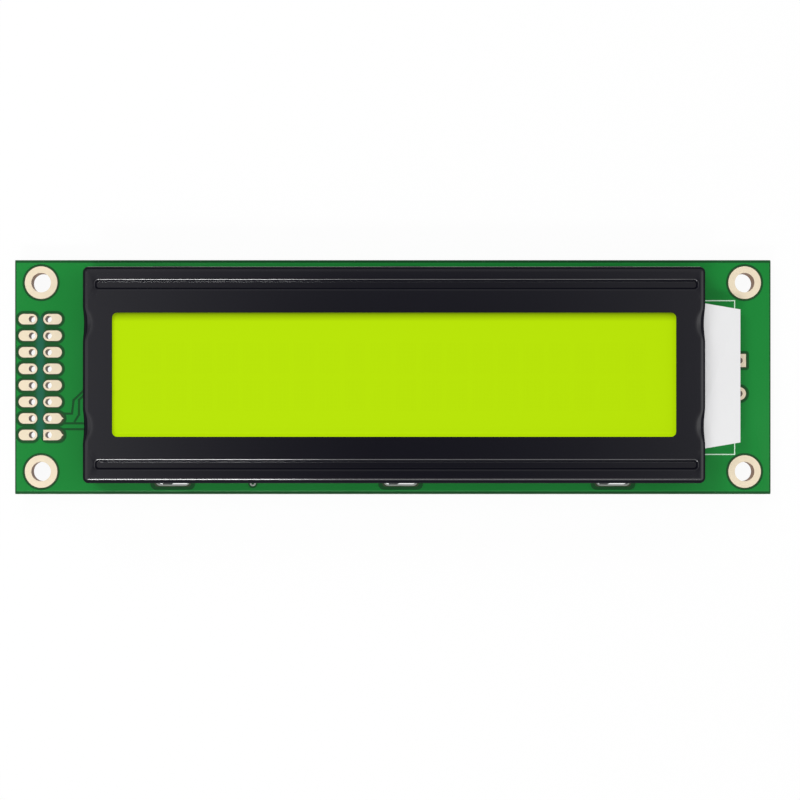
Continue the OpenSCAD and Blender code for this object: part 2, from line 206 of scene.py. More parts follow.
class Look(NodeMaker):
    # one procedural finish; plain values go straight to the shader's own sockets
    def __init__(self, name, **values):
        self.material = bpy.data.materials.new(name)
        super().__init__(self.material)
        self.shader = self.tree.nodes["Principled BSDF"]
        self.place = self.node("TexCoord", "Object")
        self.wear(**values)

    def wear(self, **sockets):
        for socket, value in sockets.items():
            self.feed(self.shader.inputs[socket.replace("_", " ")], value)
        return self

    def along(self, axis):
        # distance from the origin, in millimetres
        return self.node("SeparateXYZ", axis, sockets={0: self.place}) / mm

    def facing(self, axis):
        # how far the surface faces along an axis, from -1 to 1
        return self.node("SeparateXYZ", axis, sockets={0: self.node("NewGeometry", "Normal")})

    def noise(self, size, detail=3, stretch=(1, 1, 1)):
        # size is that of one blotch, in millimetres
        vector = self.node("Mapping", "Vector", sockets={"Vector": self.place, "Scale": stretch})
        return self.node("TexNoise", "Fac", sockets={"Vector": vector, "Scale": 1 / (size * mm),
                                                     "Detail": detail, "Roughness": 0.55})

    def bump(self, height, strength, depth):
        return self.node("Bump", "Normal", sockets={"Height": height, "Strength": strength,
                                                    "Distance": depth * mm})


# making pieces; a bmesh is in millimetres until its piece is finished

def meshFrom(bm, name):
    mesh = bpy.data.meshes.new(name)
    bm.to_mesh(mesh)
    bm.free()
    return mesh


def placed(name, data):
    made = bpy.data.objects.new(name, data)
    scene.collection.objects.link(made)
    return made


def finishPiece(bm, name, looks, replaced=(), smooth=35):
    # the piece's place ends up in its mesh
    bmesh.ops.scale(bm, vec=(mm,) * 3, verts=bm.verts)
    mesh = meshFrom(bm, name)
    piece = placed(name, mesh)
    for look in looks if isinstance(looks, list) else [looks]:
        mesh.materials.append(look.material)
    mesh.shade_smooth()
    mesh.set_sharp_from_angle(angle=radians(smooth))
    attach(piece, "root")
    if replaced:
        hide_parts(*replaced)
    return piece


def dress(look, *names):
    for name in names:
        mesh = nodes[name].data
        mesh.materials.clear()
        mesh.materials.append(look.material)


def plate(bm, low, high, z, radius=0, segments=8):
    # a flat rectangle with round corners, as one face that looks up
    made = bmesh.ops.create_grid(bm, x_segments=1, y_segments=1, size=0.5)["verts"]
    bmesh.ops.scale(bm, vec=(high[0] - low[0], high[1] - low[1], 1), verts=made)
    bmesh.ops.translate(bm, vec=((low[0] + high[0]) / 2, (low[1] + high[1]) / 2, z), verts=made)
    if radius:
        made = bmesh.ops.bevel(bm, geom=made, offset=radius, segments=segments, profile=0.5,
                               affect="VERTICES", material=-1)["verts"]
    return made[0].link_faces[0]


def disc(bm, centre, radius, z, segments=32):
    made = bmesh.ops.create_circle(bm, cap_ends=True, segments=segments, radius=radius)["verts"]
    bmesh.ops.translate(bm, vec=(*centre, z), verts=made)
    return made[0].link_faces[0]


def raised(bm, face, height):
    # lifts a flat face into a closed block and returns its far face
    out = bmesh.ops.extrude_face_region(bm, geom=[face], use_keep_orig=True)["geom"]
    far = next(g for g in out if isinstance(g, bmesh.types.BMFace))
    bmesh.ops.translate(bm, vec=(0, 0, height), verts=far.verts)
    return far


def softened(bm, edges, width, segments=2, **more):
    bmesh.ops.bevel(bm, geom=edges, offset=width, segments=segments, profile=0.5,
                    affect="EDGES", material=-1, **more)


def block(bm, low, high, edge=0):
    # a box between two corners, with soft edges
    made = bmesh.ops.create_cube(bm, size=1)["verts"]
    bmesh.ops.scale(bm, vec=[h - l for l, h in zip(low, high)], verts=made)
    bmesh.ops.translate(bm, vec=[(l + h) / 2 for l, h in zip(low, high)], verts=made)
    if edge:
        softened(bm, list({e for v in made for e in v.link_edges}), edge)


def turned(bm, centre, profile, segments):
    # spins a profile of (radius, height) points round an upright axis
    line = [bm.verts.new((centre[0] + r, centre[1], z)) for r, z in profile]
    edges = [bm.edges.new(pair) for pair in zip(line, line[1:])]
    bmesh.ops.spin(bm, geom=line + edges, cent=(*centre[:2], 0), axis=(0, 0, 1), dvec=(0, 0, 0),
                   angle=2 * pi, steps=segments, use_merge=True)
    bmesh.ops.remove_doubles(bm, verts=bm.verts, dist=1e-4)
    bmesh.ops.recalc_face_normals(bm, faces=bm.faces)


def slicedAlong(bm, axis, places):
    normal = [0, 0, 0]
    normal[axis] = 1
    for place in places:
        bmesh.ops.bisect_plane(bm, geom=bm.verts[:] + bm.edges[:] + bm.faces[:], dist=1e-5,
                               plane_co=[n * place for n in normal], plane_no=normal)


def added(bm, part, material=0):
    # moves a small mesh into a larger one
    for face in part.faces:
        face.material_index = material
    mesh = meshFrom(part, "part")
    bm.from_mesh(mesh)
    bpy.data.meshes.remove(mesh)


def cutFrom(bm, cutters):
    # takes one mesh away from another; the cutters may overlap each other
    shapes = []
    for part in (bm, cutters):
        bmesh.ops.recalc_face_normals(part, faces=part.faces)
        shapes.append(placed("shape", meshFrom(part, "shape")))
    cut = shapes[0].modifiers.new("cut", "BOOLEAN")
    cut.operation, cut.solver, cut.object, cut.use_self = "DIFFERENCE", "EXACT", shapes[1], True
    result = bmesh.new()
    result.from_object(shapes[0], bpy.context.evaluated_depsgraph_get())
    for shape in shapes:
        bpy.data.meshes.remove(shape.data)
    return result


print("frame read:", len(nodes), "nodes")


# bezel: one sheet of steel, pressed, folded down on four sides and locked by twisted tabs

bezel = {
    "sheet": 0.5,
    "fold": 0.85,                 # outer radius of the folds
    "window": (83.8, 18.45),
    "windowCorner": 0.75,
    "windowEdge": 0.05,           # narrow slope round the window
    "mouth": (11.45, 5.05),       # half width and top of the lamp end's way out
    "netX": (43.9, 45.4),         # where the sheet gets a finer net for the dents
    "netY": (4.3, 11.2),
    "netZ": (3.8, 7.2),
    "beadEnds": (-44.75, 45.4),
    "beadY": 13.4,
    "beadHalf": 0.95,             # half of a bead's width over its rims
    "beadCorner": 0.78,
    "beadRim": 0.52,              # radius of a bead's rim, and of the foot of its wall
    "beadFoot": 0.09,
    "beadSlope": 60,
    "beadWall": (0.03, 0.052),    # run and drop of the wall between rim and foot
    "dentY": 7.6,                 # shallow dents that the locating dimples leave at the folds
    "dentCircle": (1.66, 2.96),   # how far past the end a dent is centred, and its radius
    "dentFall": 0.42,
    "dentSoft": 0.1,              # how softly the fall starts
    "dentPush": 0.06,             # how far the wall goes in
    "dentMiddle": 0.85,           # depth of the push under the face
    "dentSpread": 7.3,            # square of the push's radius
    "dentRun": 1.2,               # where the push ends on the face
    "tabs": (-33.8, 1.2, 33.8),
    "tabWidth": 4.2,
    "tabTaper": 0.4,
    "tabTip": 0.08,               # soft edge at a tab's end
    "tabTwist": 30,
    "tabTwisted": (0.1, -0.65),   # heights where the twist starts and ends
    "dullFold": (0.15, 0.88, 0.03),   # how far up a dull fold faces, and its soft ends
    "glossySliver": 0.93,         # how far back it faces where the gloss stays
    "glossLost": 0.93,            # share of the gloss that a dull fold loses
}


def beadPressed(bm, side, top):
    # insets follow the rim's arc down, then the foot's arc to the floor
    half, y = bezel["beadHalf"], side * bezel["beadY"]
    left, right = bezel["beadEnds"]
    face = plate(bm, (left, y - half), (right, y + half), top, bezel["beadCorner"], 10)
    slope = radians(bezel["beadSlope"])
    rim, foot = bezel["beadRim"], bezel["beadFoot"]
    run, drop = bezel["beadWall"]
    points = [(rim * sin(turn), rim * (1 - cos(turn))) for turn in steps(0, slope, 7)]
    inner, depth = points[-1][0] + run, points[-1][1] + drop
    points += [(inner + foot * (sin(slope) - sin(turn)), depth + foot * (cos(turn) - cos(slope)))
               for turn in steps(slope, 0, 5)]
    for (x0, z0), (x1, z1) in zip(points, points[1:]):
        bmesh.ops.inset_region(bm, faces=[face], thickness=x1 - x0, depth=0,
                               use_even_offset=True, use_boundary=True)
        bmesh.ops.translate(bm, vec=(0, 0, z0 - z1), verts=face.verts)


def dented(v, high):
    # the dimples in the end walls pull the edge of the face down over a shallow crescent
    side = 1 if v.co.x > 0 else -1
    inward = high.x - abs(v.co.x)
    outside, circle = bezel["dentCircle"]
    soft = bezel["dentSoft"]
    near = max(0.0, 1 - inward / bezel["dentRun"])
    for y in (-bezel["dentY"], bezel["dentY"]):
        across = v.co.y - y
        over = circle - sqrt((inward + outside) ** 2 + across ** 2)
        fall = bezel["dentFall"] * soft * log(1 + exp(over / soft))
        below = v.co.z - high.z + bezel["dentMiddle"]
        reach = max(0.0, 1 - (across ** 2 + below ** 2) / bezel["dentSpread"])
        v.co.z -= fall * eased(v.co.z, *bezel["netZ"])
        v.co.x -= side * bezel["dentPush"] * reach * near


def foldedLid(foot, high):
    # the sheet's outer side, open below, with a finer net where dents and mouth come
    bm = bmesh.new()
    block(bm, (-high.x, -high.y, foot), high)
    bmesh.ops.delete(bm, geom=[f for f in bm.faces if f.normal.z < -0.5], context="FACES")
    softened(bm, [e for e in bm.edges if not e.is_boundary], bezel["fold"], 8)
    mouthY, mouthZ = bezel["mouth"]
    netX, netY = steps(*bezel["netX"], 6), steps(*bezel["netY"], 23)
    slicedAlong(bm, 1, [side * y for side in (-1, 1) for y in netY + [mouthY]])
    slicedAlong(bm, 0, [side * x for side in (-1, 1) for x in netX])
    slicedAlong(bm, 2, [mouthZ] + steps(*bezel["netZ"], 10))
    return bm


def facePressed(bm, top):
    # the flat of the face is filled again round its window and beads
    def inNet(middle):
        return abs(middle.x) > bezel["netX"][0] and abs(middle.y) < bezel["netY"][1]

    flat = [f for f in bm.faces if f.normal.z > 0.999 and f.calc_center_median().z > top - 1e-3]
    bmesh.ops.delete(bm, geom=[f for f in flat if not inNet(f.calc_center_median())],
                     context="FACES")
    edge = bezel["windowEdge"]
    x, y = [size / 2 + edge for size in bezel["window"]]
    window = plate(bm, (-x, -y), (x, y), top, bezel["windowCorner"] + edge)
    bmesh.ops.inset_region(bm, faces=[window], thickness=edge, depth=0, use_even_offset=True,
                           use_boundary=True)
    bmesh.ops.translate(bm, vec=(0, 0, -edge), verts=window.verts)
    for side in (-1, 1):
        beadPressed(bm, side, top)
    border = [e for e in bm.edges if e.is_boundary and e.verts[0].co.z > top - 1e-3]
    bmesh.ops.triangle_fill(bm, use_beauty=True, edges=border, normal=(0, 0, 1))
    bmesh.ops.delete(bm, geom=[window], context="FACES")


def inMouth(face):
    middle = face.calc_center_median()
    halfWidth, top = bezel["mouth"]
    return face.normal.x > 0.999 and abs(middle.y) < halfWidth and middle.z < top


def lockTabs(bm, wallY, low, foot):
    # each tab runs straight through its slot, and its end is twisted behind the board
    half, sheet = bezel["tabWidth"] / 2, bezel["sheet"]
    start, end = bezel["tabTwisted"]
    for x in bezel["tabs"]:
        for side in (-1, 1):
            middle = Vector((x, side * (wallY - sheet / 2), 0))
            tab = bmesh.new()
            block(tab, (-half, -sheet / 2, low), (half, sheet / 2, foot))
            # slices let it twist, and the lowest one clears the soft tip
            slicedAlong(tab, 2, steps(low + 1.5 * bezel["tabTip"], start, 7))
            tip = [e for e in tab.edges if all(v.co.z < low + 1e-4 for v in e.verts)]
            softened(tab, tip, bezel["tabTip"])
            for v in tab.verts:
                twist = radians(bezel["tabTwist"]) * eased(v.co.z, start, end)
                taper = 1 - bezel["tabTaper"] / half * min(1.0, (foot - v.co.z) / (foot - low))
                v.co = middle + Matrix.Rotation(twist, 3, "Z") @ Vector((v.co.x * taper, *v.co.yz))
            added(bm, tab)


def bezelSheet():
    # the tabs reach past the folded walls, so the walls' corner is read above the board
    foot = cadCorners("slot_lands")[1].z
    points = [v.co / mm for v in nodes["bezel"].data.vertices]
    high = cornersOf([point for point in points if point.z > foot + 1])[1]
    bm = foldedLid(foot, high)
    facePressed(bm, high.z)
    bmesh.ops.delete(bm, geom=[f for f in bm.faces if inMouth(f)], context="FACES")
    for v in bm.verts:
        if abs(v.co.x) > bezel["netX"][0]:
            dented(v, high)
    bmesh.ops.recalc_face_normals(bm, faces=bm.faces)
    if sum(f.normal.z * f.calc_area() for f in bm.faces) < 0:
        bmesh.ops.reverse_faces(bm, faces=bm.faces)
    bmesh.ops.solidify(bm, geom=bm.faces[:], thickness=bezel["sheet"])
    lockTabs(bm, high.y, cadCorners("bezel")[0].z, foot)
    return bm


def steelPaint():
    look = Look("satin black paint", Specular_IOR_Level=0, Coat_IOR=1.7, Coat_Roughness=0.14)
    grain, cloud, peel = look.noise(0.09, 2), look.noise(14, 2), look.noise(0.5)
    tint = look.blend(cloud, (0.0040, 0.0038, 0.0070), (0.0054, 0.0052, 0.0090))
    # the gloss is lost over a fold, but for a sliver at the back of the upper one
    dull = look.band(look.facing("Z"), *bezel["dullFold"])
    dull = dull * (look.facing("Y") < bezel["glossySliver"])
    return look.wear(Base_Color=tint, Roughness=0.4 + grain * 0.1,
                     Coat_Weight=1 - dull * bezel["glossLost"],
                     Normal=look.bump(peel * 0.6 + grain * 0.4, 0.2, 0.005))


bezelPiece = finishPiece(bezelSheet(), "bezel_pressing", steelPaint(), ["bezel"])
bezelPiece.modifiers.new("even shading", "WEIGHTED_NORMAL").keep_sharp = True
print("bezel pressed")


# circuit board: copper under the mask, bare laminate at the snapped edges

board = {
    "mask": 0.02,                 # how far the mask stands up, and how much more over copper
    "copper": 0.03,
    "maskMargin": (0.03, 0.05),   # bare laminate at the ends and the long edges
    "maskCorner": 0.05,
    "copperEdge": (57.8, 17.55),  # half size of the copper
    "copperCorner": 0.1,
    "copperSlope": 0.09,
    "opening": 0.13,              # bare ring that the mask leaves round a land
    "clearance": 0.48,            # gap between a land and the copper round it
    "holeClearance": 0.36,
    "slotClearance": (0.8, 0.6),  # along and across a slot
    "slotCorner": 0.3,
    "upperSlotClearance": 0.33,   # across the slots at the upper edge
    "headerGap": (-55.0, -53.2),  # no copper between the header's two columns
    "headerPaintedGlow": ((-54.75, -53.5), (-9.3, 9.3)),   # where that gap shows darker for want of copper, lifted to teal by painted light from below
    "gap": 0.34,                  # width of the gap beside a track
    "gapLines": (                 # gaps round the tracks at the header's lower end
        ((-51.3, -5.61), (-49.25, -5.61), (-49.0, -3.55), (-46.6, -1.2)),
        ((-48.8, -6.75), (-48.17, -5.76), (-48.17, -3.49), (-46.6, -1.95)),
        ((-51.2, -7.1), (-46.2, -7.1)),
        ((-51.2, -8.0), (-46.2, -8.0)),
    ),
    "weave": 9,                   # glass cloth under the mask, in radians per millimetre
    "layers": 22,                 # the same for its layers at an edge
    "via": (-21.5, -16.3),
    "viaClearance": 0.75,
    "viaSection": ((0.2, 0), (0.2, 0.03), (0.23, 0.045), (0.42, 0.045), (0.46, 0.03), (0.46, 0),
                   (0.2, 0)),
    "printWidth": 0.15,
    "printHeight": 0.01,
    "printCorners": ((44, -11.95), (52.54, 11.8)),
    "printOpen": 43,              # the outline runs out under the bezel at its left end
}


def openingsRound(cutters, low, high, header, holes, slots):
    # one upright cutter round each land, wider than it by the margins
    def opening(centre, size, margin, radius=9):
        # a large radius leaves no straight side at a round land
        x, y = size.x / 2 + margin[0], size.y / 2 + margin[1]
        face = plate(cutters, (centre.x - x, centre.y - y), (centre.x + x, centre.y + y), low,
                     min(radius, x - 0.01, y - 0.01), 10)
        raised(cutters, face, high - low)

    for centre, size in loosePlaces("header_lands"):
        opening(centre, size, (header, header))
    for centre, size in loosePlaces("mounting_lands"):
        opening(centre, size, (holes, holes))
    for centre, size in loosePlaces("terminal_lands"):
        opening(centre, size, (header, header), header if centre.y > 0 else 9)
    along, across = slots
    for centre, size in loosePlaces("slot_lands"):
        margin = min(across, board["upperSlotClearance"]) if centre.y > 0 else across
        opening(centre, size, (along, margin), board["slotCorner"] + margin)


def channels(cutters, lines, low, high, width):
    # square-ended cuts along straight lines, which overlap at the corners
    for line in lines:
        for start, end in zip(line, line[1:]):
            along = Vector(end) - Vector(start)
            face = plate(cutters, (-width / 2, -width / 2), (along.length + width / 2, width / 2),
                         low)
            turn = Matrix.Rotation(along.angle_signed(Vector((1, 0))), 4, "Z")
            bmesh.ops.transform(cutters, matrix=Matrix.Translation((*start, 0)) @ turn,
                                verts=face.verts)
            raised(cutters, face, high - low)


def levels(side):
    # the faces of the bare board, the mask on it and the mask over copper
    low, high = cadCorners("circuit_board")
    base = high.z if side > 0 else low.z
    return base, base + side * board["mask"], base + side * (board["mask"] + board["copper"])


def cutterSpan(base, top):
    # heights of a cutter that reaches past both faces of a sheet
    return min(base, top) - 0.5, max(base, top) + 0.5


def maskSheet(side):
    base, mask = levels(side)[:2]
    corner = cadCorners("circuit_board")[1]
    x, y = corner.x - board["maskMargin"][0], corner.y - board["maskMargin"][1]
    sheet, cutters = bmesh.new(), bmesh.new()
    raised(sheet, plate(sheet, (-x, -y), (x, y), base, board["maskCorner"]), mask - base)
    margin = board["opening"]
    openingsRound(cutters, *cutterSpan(base, mask), margin, margin, (margin, margin))
    return cutFrom(sheet, cutters)


def copperSheet(side):
    base, mask, top = levels(side)
    x, y = board["copperEdge"]
    sheet, cutters = bmesh.new(), bmesh.new()
    face = plate(sheet, (-x, -y), (x, y), base, board["copperCorner"])
    rim = raised(sheet, face, mask - base)
    bmesh.ops.inset_region(sheet, faces=[rim], thickness=board["copperSlope"], depth=0,
                           use_even_offset=True)
    bmesh.ops.translate(sheet, vec=(0, 0, top - mask), verts=rim.verts)
    low, high = cutterSpan(base, top)
    openingsRound(cutters, low, high, board["clearance"], board["holeClearance"],
                  board["slotClearance"])
    rows = [place[0].y for place in loosePlaces("header_lands")]
    left, right = board["headerGap"]
    raised(cutters, plate(cutters, (left, min(rows)), (right, max(rows)), low), high - low)
    if side > 0:
        raised(cutters, disc(cutters, board["via"], board["viaClearance"], low), high - low)
        channels(cutters, board["gapLines"], low, high, board["gap"])
    return cutFrom(sheet, cutters)


def maskLook(name, first, second, paintedGlowBetween=None):
    look = Look(name, IOR=1.55, Specular_IOR_Level=0.2)
    x, y = look.along("X"), look.along("Y")
    weave = (x * board["weave"]).wave() * (y * board["weave"]).wave() * 0.5 + 0.5
    cloud, grain = look.noise(18, 2), look.noise(0.12, 2)
    tint = look.blend((cloud + (weave - 0.5) * 0.1).clamped(), first, second)
    if paintedGlowBetween:
        # the strip between the header's two columns, tinted teal as painted light shining up
        # through the bare laminate
        spanX, spanY = board["headerPaintedGlow"]
        tint = look.blend(look.band(x, *spanX, 0.4) * look.band(y, *spanY, 0.6), tint, paintedGlowBetween)
    return look.wear(Base_Color=tint, Roughness=0.32 + grain * 0.1,
                     Normal=look.bump(weave * 0.3 + grain * 0.7, 0.2, 0.004))


def laminateLook():
    # dark where a mask opening bares it, pale and layered on the snapped edges
    look = Look("bare laminate", IOR=1.55)
    level = abs(look.facing("Z")) > 0.9
    layers = (look.along("Z") * board["layers"]).wave() * 0.5 + 0.5
    fibre = look.noise(0.5, 4, stretch=(0.15, 0.15, 2.5))
    edge = look.blend((layers * 0.5 + fibre * 0.5).clamped(), (0.40, 0.47, 0.33),
                      (0.58, 0.63, 0.52))
    face = look.blend(look.noise(1.5), (0.018, 0.034, 0.008), (0.030, 0.050, 0.014))
    return look.wear(Base_Color=look.blend(level, edge, face), Roughness=0.72 - level * 0.2,
                     Normal=look.bump(fibre, 0.3, 0.02))


def landLook(name, colour, barrelPaintedShade, roughness, metal):
    # flat on the faces; on the barrel of a plated hole the same plating gets a darker colour, which
    # is painted shade, and is duller
    look = Look(name)
    level = abs(look.facing("Z")) > 0.7
    cloud, grain = look.noise(1.6), look.noise(0.08, 2)
    tint = look.blend(cloud, colour, [c * 0.92 for c in colour])
    return look.wear(Base_Color=look.blend(level, barrelPaintedShade, tint), Metallic=metal * level,
                     Roughness=roughness + grain * 0.12, Normal=look.bump(grain, 0.25, 0.005))


dress(laminateLook(), "circuit_board")
# the second colour is painted shade on the barrels of the plated holes
goldLook = landLook("pale gold", (0.83, 0.715, 0.53), (0.26, 0.13, 0.055), 0.42, 0.15)
dress(goldLook, "mounting_lands", "header_lands", "terminal_lands")
# its second colour is painted shade on the walls of the slots
tinLook = landLook("dull tin", (0.36, 0.40, 0.36), (0.08, 0.08, 0.08), 0.5, 0.3)
dress(tinLook, "slot_lands")
# the third colour is painted light from below, for the strip between the header's columns
darkMask = maskLook("mask on bare laminate", (0.003, 0.058, 0.012), (0.010, 0.085, 0.022),
                    (0.012, 0.11, 0.062))
pourMask = maskLook("mask over copper", (0.004, 0.180, 0.024), (0.010, 0.212, 0.036))
for side, face in ((1, "front"), (-1, "back")):
    finishPiece(maskSheet(side), face + "_mask", darkMask, smooth=20)
    finishPiece(copperSheet(side), face + "_copper", pourMask, smooth=20)
print("board dressed")


# display, lamp end and what lies under them

display = {
    "field": (38, 5.6),           # half size of the field of characters
    "pitch": (3.8, 5.6),          # distance between neighbouring characters
    "cell": ((0.3, 3.3), (0.25, 4.9)),   # where the dots lie in that distance
    "dotPitch": 0.6,
    "dot": (0.05, 0.55),
    "dotEdge": 0.02,
    "lime": (0.163, 0.259, 0.0),
    "unlit": 0.97,                # how much darker an unlit dot is
    # glow of the backlight, turned up so that it is partly painted light
    "backlightAndPaintedGlow": (0.374, 0.596, 0.0),
    # the glow from the film's lower edge to its upper: raised at the lower edge as painted light
    # against the bezel's shade, and falling almost to nothing at the upper edge as a painted shadow
    "glowPaintedShadeStops": ((0.035, 1.0), (0.08, 0.75), (0.9, 0.75), (0.935, 0.47), (0.967, 0.05)),
    "filmEdge": 0.09,             # soft folds of the reflector film
    "rubberLayers": (0.1, 0.03, 0.07),   # their pitch, and where the dark one lies in it
    "rubberCore": 0.45,           # half width of the layered part
    "lampWindow": (2.65, 3.9),    # heights of a lamp's window
}


def displayLook():
    # anti-glare film over the lit cell; the unlit dots can only just be told apart. Its glow stands
    # for the backlight and is made strong enough to wash out the bezel's shade on the film, so it
    # is partly painted light
    look = Look("lime display film", IOR=1.45, Specular_IOR_Level=0.08, Emission_Strength=1)
    soft, dots = display["dotEdge"], 1
    for axis, half, pitch, cell in zip("XY", display["field"], display["pitch"], display["cell"]):
        place = look.along(axis)
        inCell = (place + half).remainder(pitch)
        inDot = inCell.remainder(display["dotPitch"])
        inDots = look.band(inCell, *cell, soft) * look.band(inDot, *display["dot"], soft)
        dots = look.band(place, -half, half, soft) * inDots * dots
    grain = look.noise(0.05, 2)
    lime = display["lime"]
    # painted shadow along the film's upper edge and painted light along its lower edge
    glowPaintedShade = look.ramp(look.along("Y") * 0.05 + 0.5, display["glowPaintedShadeStops"])
    return look.wear(Base_Color=look.blend(dots, lime, [c * display["unlit"] for c in lime]),
                     Emission_Color=look.blend(glowPaintedShade, (0, 0, 0), display["backlightAndPaintedGlow"]),
                     Roughness=0.5 + grain * 0.15, Normal=look.bump(grain, 0.15, 0.003))


def filmLook():
    # the glow is painted light that brightens the film where the bezel shades it, and it stands in
    # part for backlight leaking out at the lamp end
    look = Look("white reflector film", IOR=1.45, Emission_Strength=1,
                Emission_Color=(0.34, 0.34, 0.34))
    grain = look.noise(0.2)
    tint = look.blend(look.noise(7, 2), (0.40, 0.40, 0.405), (0.44, 0.44, 0.445))
    return look.wear(Base_Color=tint, Roughness=0.45 + grain * 0.15,
                     Normal=look.bump(grain, 0.2, 0.004))


def plainLook(name, first, second, roughness, size=1.0, depth=0.004, **values):
    # two close tones and a fine grain, for small and inner pieces
    look = Look(name, **values)
    cloud, grain = look.noise(size * 4), look.noise(size * 0.2)
    return look.wear(Base_Color=look.blend(cloud, first, second), Roughness=roughness + grain * 0.1,
                     Normal=look.bump(grain, 0.3, depth))


def rubberLook():
    # clear silicone with a stack of thin carbon layers across it
    look = Look("layered contact rubber", Roughness=0.55)
    pitch, start, end = display["rubberLayers"]
    layer = look.band(look.along("X").remainder(pitch), start, end, 0.01)
    core = look.band(abs(abs(look.along("Y")) - bezel["beadY"]), -1, display["rubberCore"], 0.03)
    tint = look.blend(layer * core, (0.72, 0.60, 0.58), (0.04, 0.04, 0.045))
    return look.wear(Base_Color=tint, Normal=look.bump(look.noise(0.3), 0.3, 0.01))


def lampLook():
    # yellow phosphor in a white package; it glows, as the display is lit
    look = Look("lamp phosphor", Emission_Strength=0.6)
    inWindow = look.band(look.along("Z"), *display["lampWindow"], 0.05)
    window = (look.facing("X") < -0.9) * inWindow
    grain = look.noise(0.06)
    phosphor = look.blend(grain, (0.85, 0.66, 0.12), (0.90, 0.74, 0.20))
    return look.wear(Base_Color=look.blend(window, (0.80, 0.80, 0.78), phosphor),
                     Emission_Color=look.blend(window, (0, 0, 0), (0.75, 0.9, 0.2)),
                     Roughness=0.4 + grain * 0.2)


def softCopy(node, edge):
    # a CAD solid with its sharp edges rounded
    bm = bmesh.new()
    bm.from_mesh(nodes[node].data)
    bmesh.ops.scale(bm, vec=(1 / mm,) * 3, verts=bm.verts)
    bmesh.ops.remove_doubles(bm, verts=bm.verts, dist=1e-4)
    bmesh.ops.dissolve_limit(bm, angle_limit=radians(1), verts=bm.verts, edges=bm.edges)
    sharp = [e for e in bm.edges
             if len(e.link_faces) == 2 and e.calc_face_angle(0) > radians(30)]
    softened(bm, sharp, edge, clamp_overlap=True)
    return bm


dress(displayLook(), "front_polarizer")
clearGlass = plainLook("cell glass", (0.80, 0.90, 0.85), (0.84, 0.92, 0.88), 0.02, 2, 0.0005,
                       Transmission_Weight=0.9, IOR=1.52)
dress(clearGlass, "front_glass", "rear_glass")
dress(plainLook("epoxy seal", (0.70, 0.64, 0.46), (0.76, 0.70, 0.54), 0.5), "cell_seal")
dress(plainLook("liquid crystal", (0.60, 0.72, 0.22), (0.64, 0.76, 0.26), 0.2,
                Transmission_Weight=0.4), "liquid_crystal")
dress(plainLook("rear film", (0.40, 0.50, 0.16), (0.44, 0.54, 0.19), 0.4), "rear_polarizer")
dress(plainLook("diffuser film", (0.86, 0.86, 0.83), (0.90, 0.90, 0.87), 0.6), "diffuser")
dress(plainLook("clear acrylic", (0.86, 0.92, 0.90), (0.90, 0.95, 0.93), 0.05, 3, 0.0005,
                Transmission_Weight=0.85, IOR=1.49), "light_guide")
dress(rubberLook(), "upper_contact_strip", "lower_contact_strip")
dress(lampLook(), "lamps")
dress(plainLook("lamp board", (0.70, 0.72, 0.60), (0.78, 0.80, 0.70), 0.5), "lamp_board")
finishPiece(softCopy("reflector", display["filmEdge"]), "lamp_end_film", filmLook(),
            ["reflector"])
print("display and lamp end dressed")


# back of the board

back = {
    "domeFoot": 0.985,            # share of the CAD dome's radius
    "domeShape": (2.6, 0.75),     # flatter on top and steeper at its foot than a ball's cap
    "domeSwell": (0.012, 0.008),  # how far it is from round, as two and three lobes
    "cap": 0.4,                   # length of a chip's tinned end
    "capEdge": 0.06,
    "bodyInset": (0.02, 0.03),    # how much smaller a body is than its ends, across and below
    "bodyEdge": 0.03,
    "fillet": 0.35,               # how far its solder runs out over the pad
    "filletTop": 0.55,            # how far past the middle it climbs, as a share of half the height
    "filletSkin": 0.02,           # how thick it is up there
    "filletWide": 0.04,
    "filletEdge": 0.05,
}


def domeOver(node):
    # a drop of resin: steep at its foot, flat on top, and never quite round
    low, high = cadCorners(node)
    centre, height = (low + high) / 2, high.z - low.z
    radius = back["domeFoot"] * (high.x - low.x) / 2
    flat, steep = back["domeShape"]
    two, three = back["domeSwell"]
    bm = bmesh.new()
    profile = [(radius * sin(t), high.z - height * (1 - sin(t) ** flat) ** steep)
               for t in steps(0, pi / 2, 20)]
    turned(bm, centre, profile + [(0, high.z)], 64)
    for v in bm.verts:
        out = v.co - centre
        turn = out.xy.angle_signed(Vector((1, 0)), 0)
        swell = 1 + two * sin(2 * turn + centre.x) + three * sin(3 * turn + 1) - (two + three)
        v.co.x, v.co.y = centre.x + out.x * swell, centre.y + out.y * swell
    bmesh.ops.recalc_face_normals(bm, faces=bm.faces)
    return bm


def solderFillet(low, high, centre, half, end):
    # solder that climbs a chip's tinned end and runs out over its pad
    bm = bmesh.new()
    block(bm, low, high)
    for v in bm.verts:
        atBoard = v.co.z > centre.z
        if (v.co.x - centre.x) * end > half.x - 0.01:
            v.co.x += end * (back["fillet"] if atBoard else back["filletSkin"])
            if not atBoard:
                v.co.z = centre.z - half.z * back["filletTop"]
        v.co.y += back["filletWide"] if v.co.y > centre.y else -back["filletWide"]
    softened(bm, bm.edges[:], back["filletEdge"])
    return bm


def chipParts(node):
    # body, tinned ends and solder fillets of each chip part, which lies along X
    bm = bmesh.new()
    across, below = back["bodyInset"]
    for centre, size in loosePlaces(node):
        half = size / 2
        inner = half.copy()
        inner.x -= back["cap"]
        inner.y -= across
        body = bmesh.new()
        block(body, centre - inner + Vector((0, 0, below)), centre + inner, back["bodyEdge"])
        added(bm, body)
        for end in (-1, 1):
            low, high = centre - half, centre + half
            if end < 0:
                high.x = low.x + back["cap"]
            else:
                low.x = high.x - back["cap"]
            cap = bmesh.new()
            block(cap, low, high, back["capEdge"])
            added(bm, cap, 1)
            added(bm, solderFillet(low, high, centre, half, end), 1)
    return bm


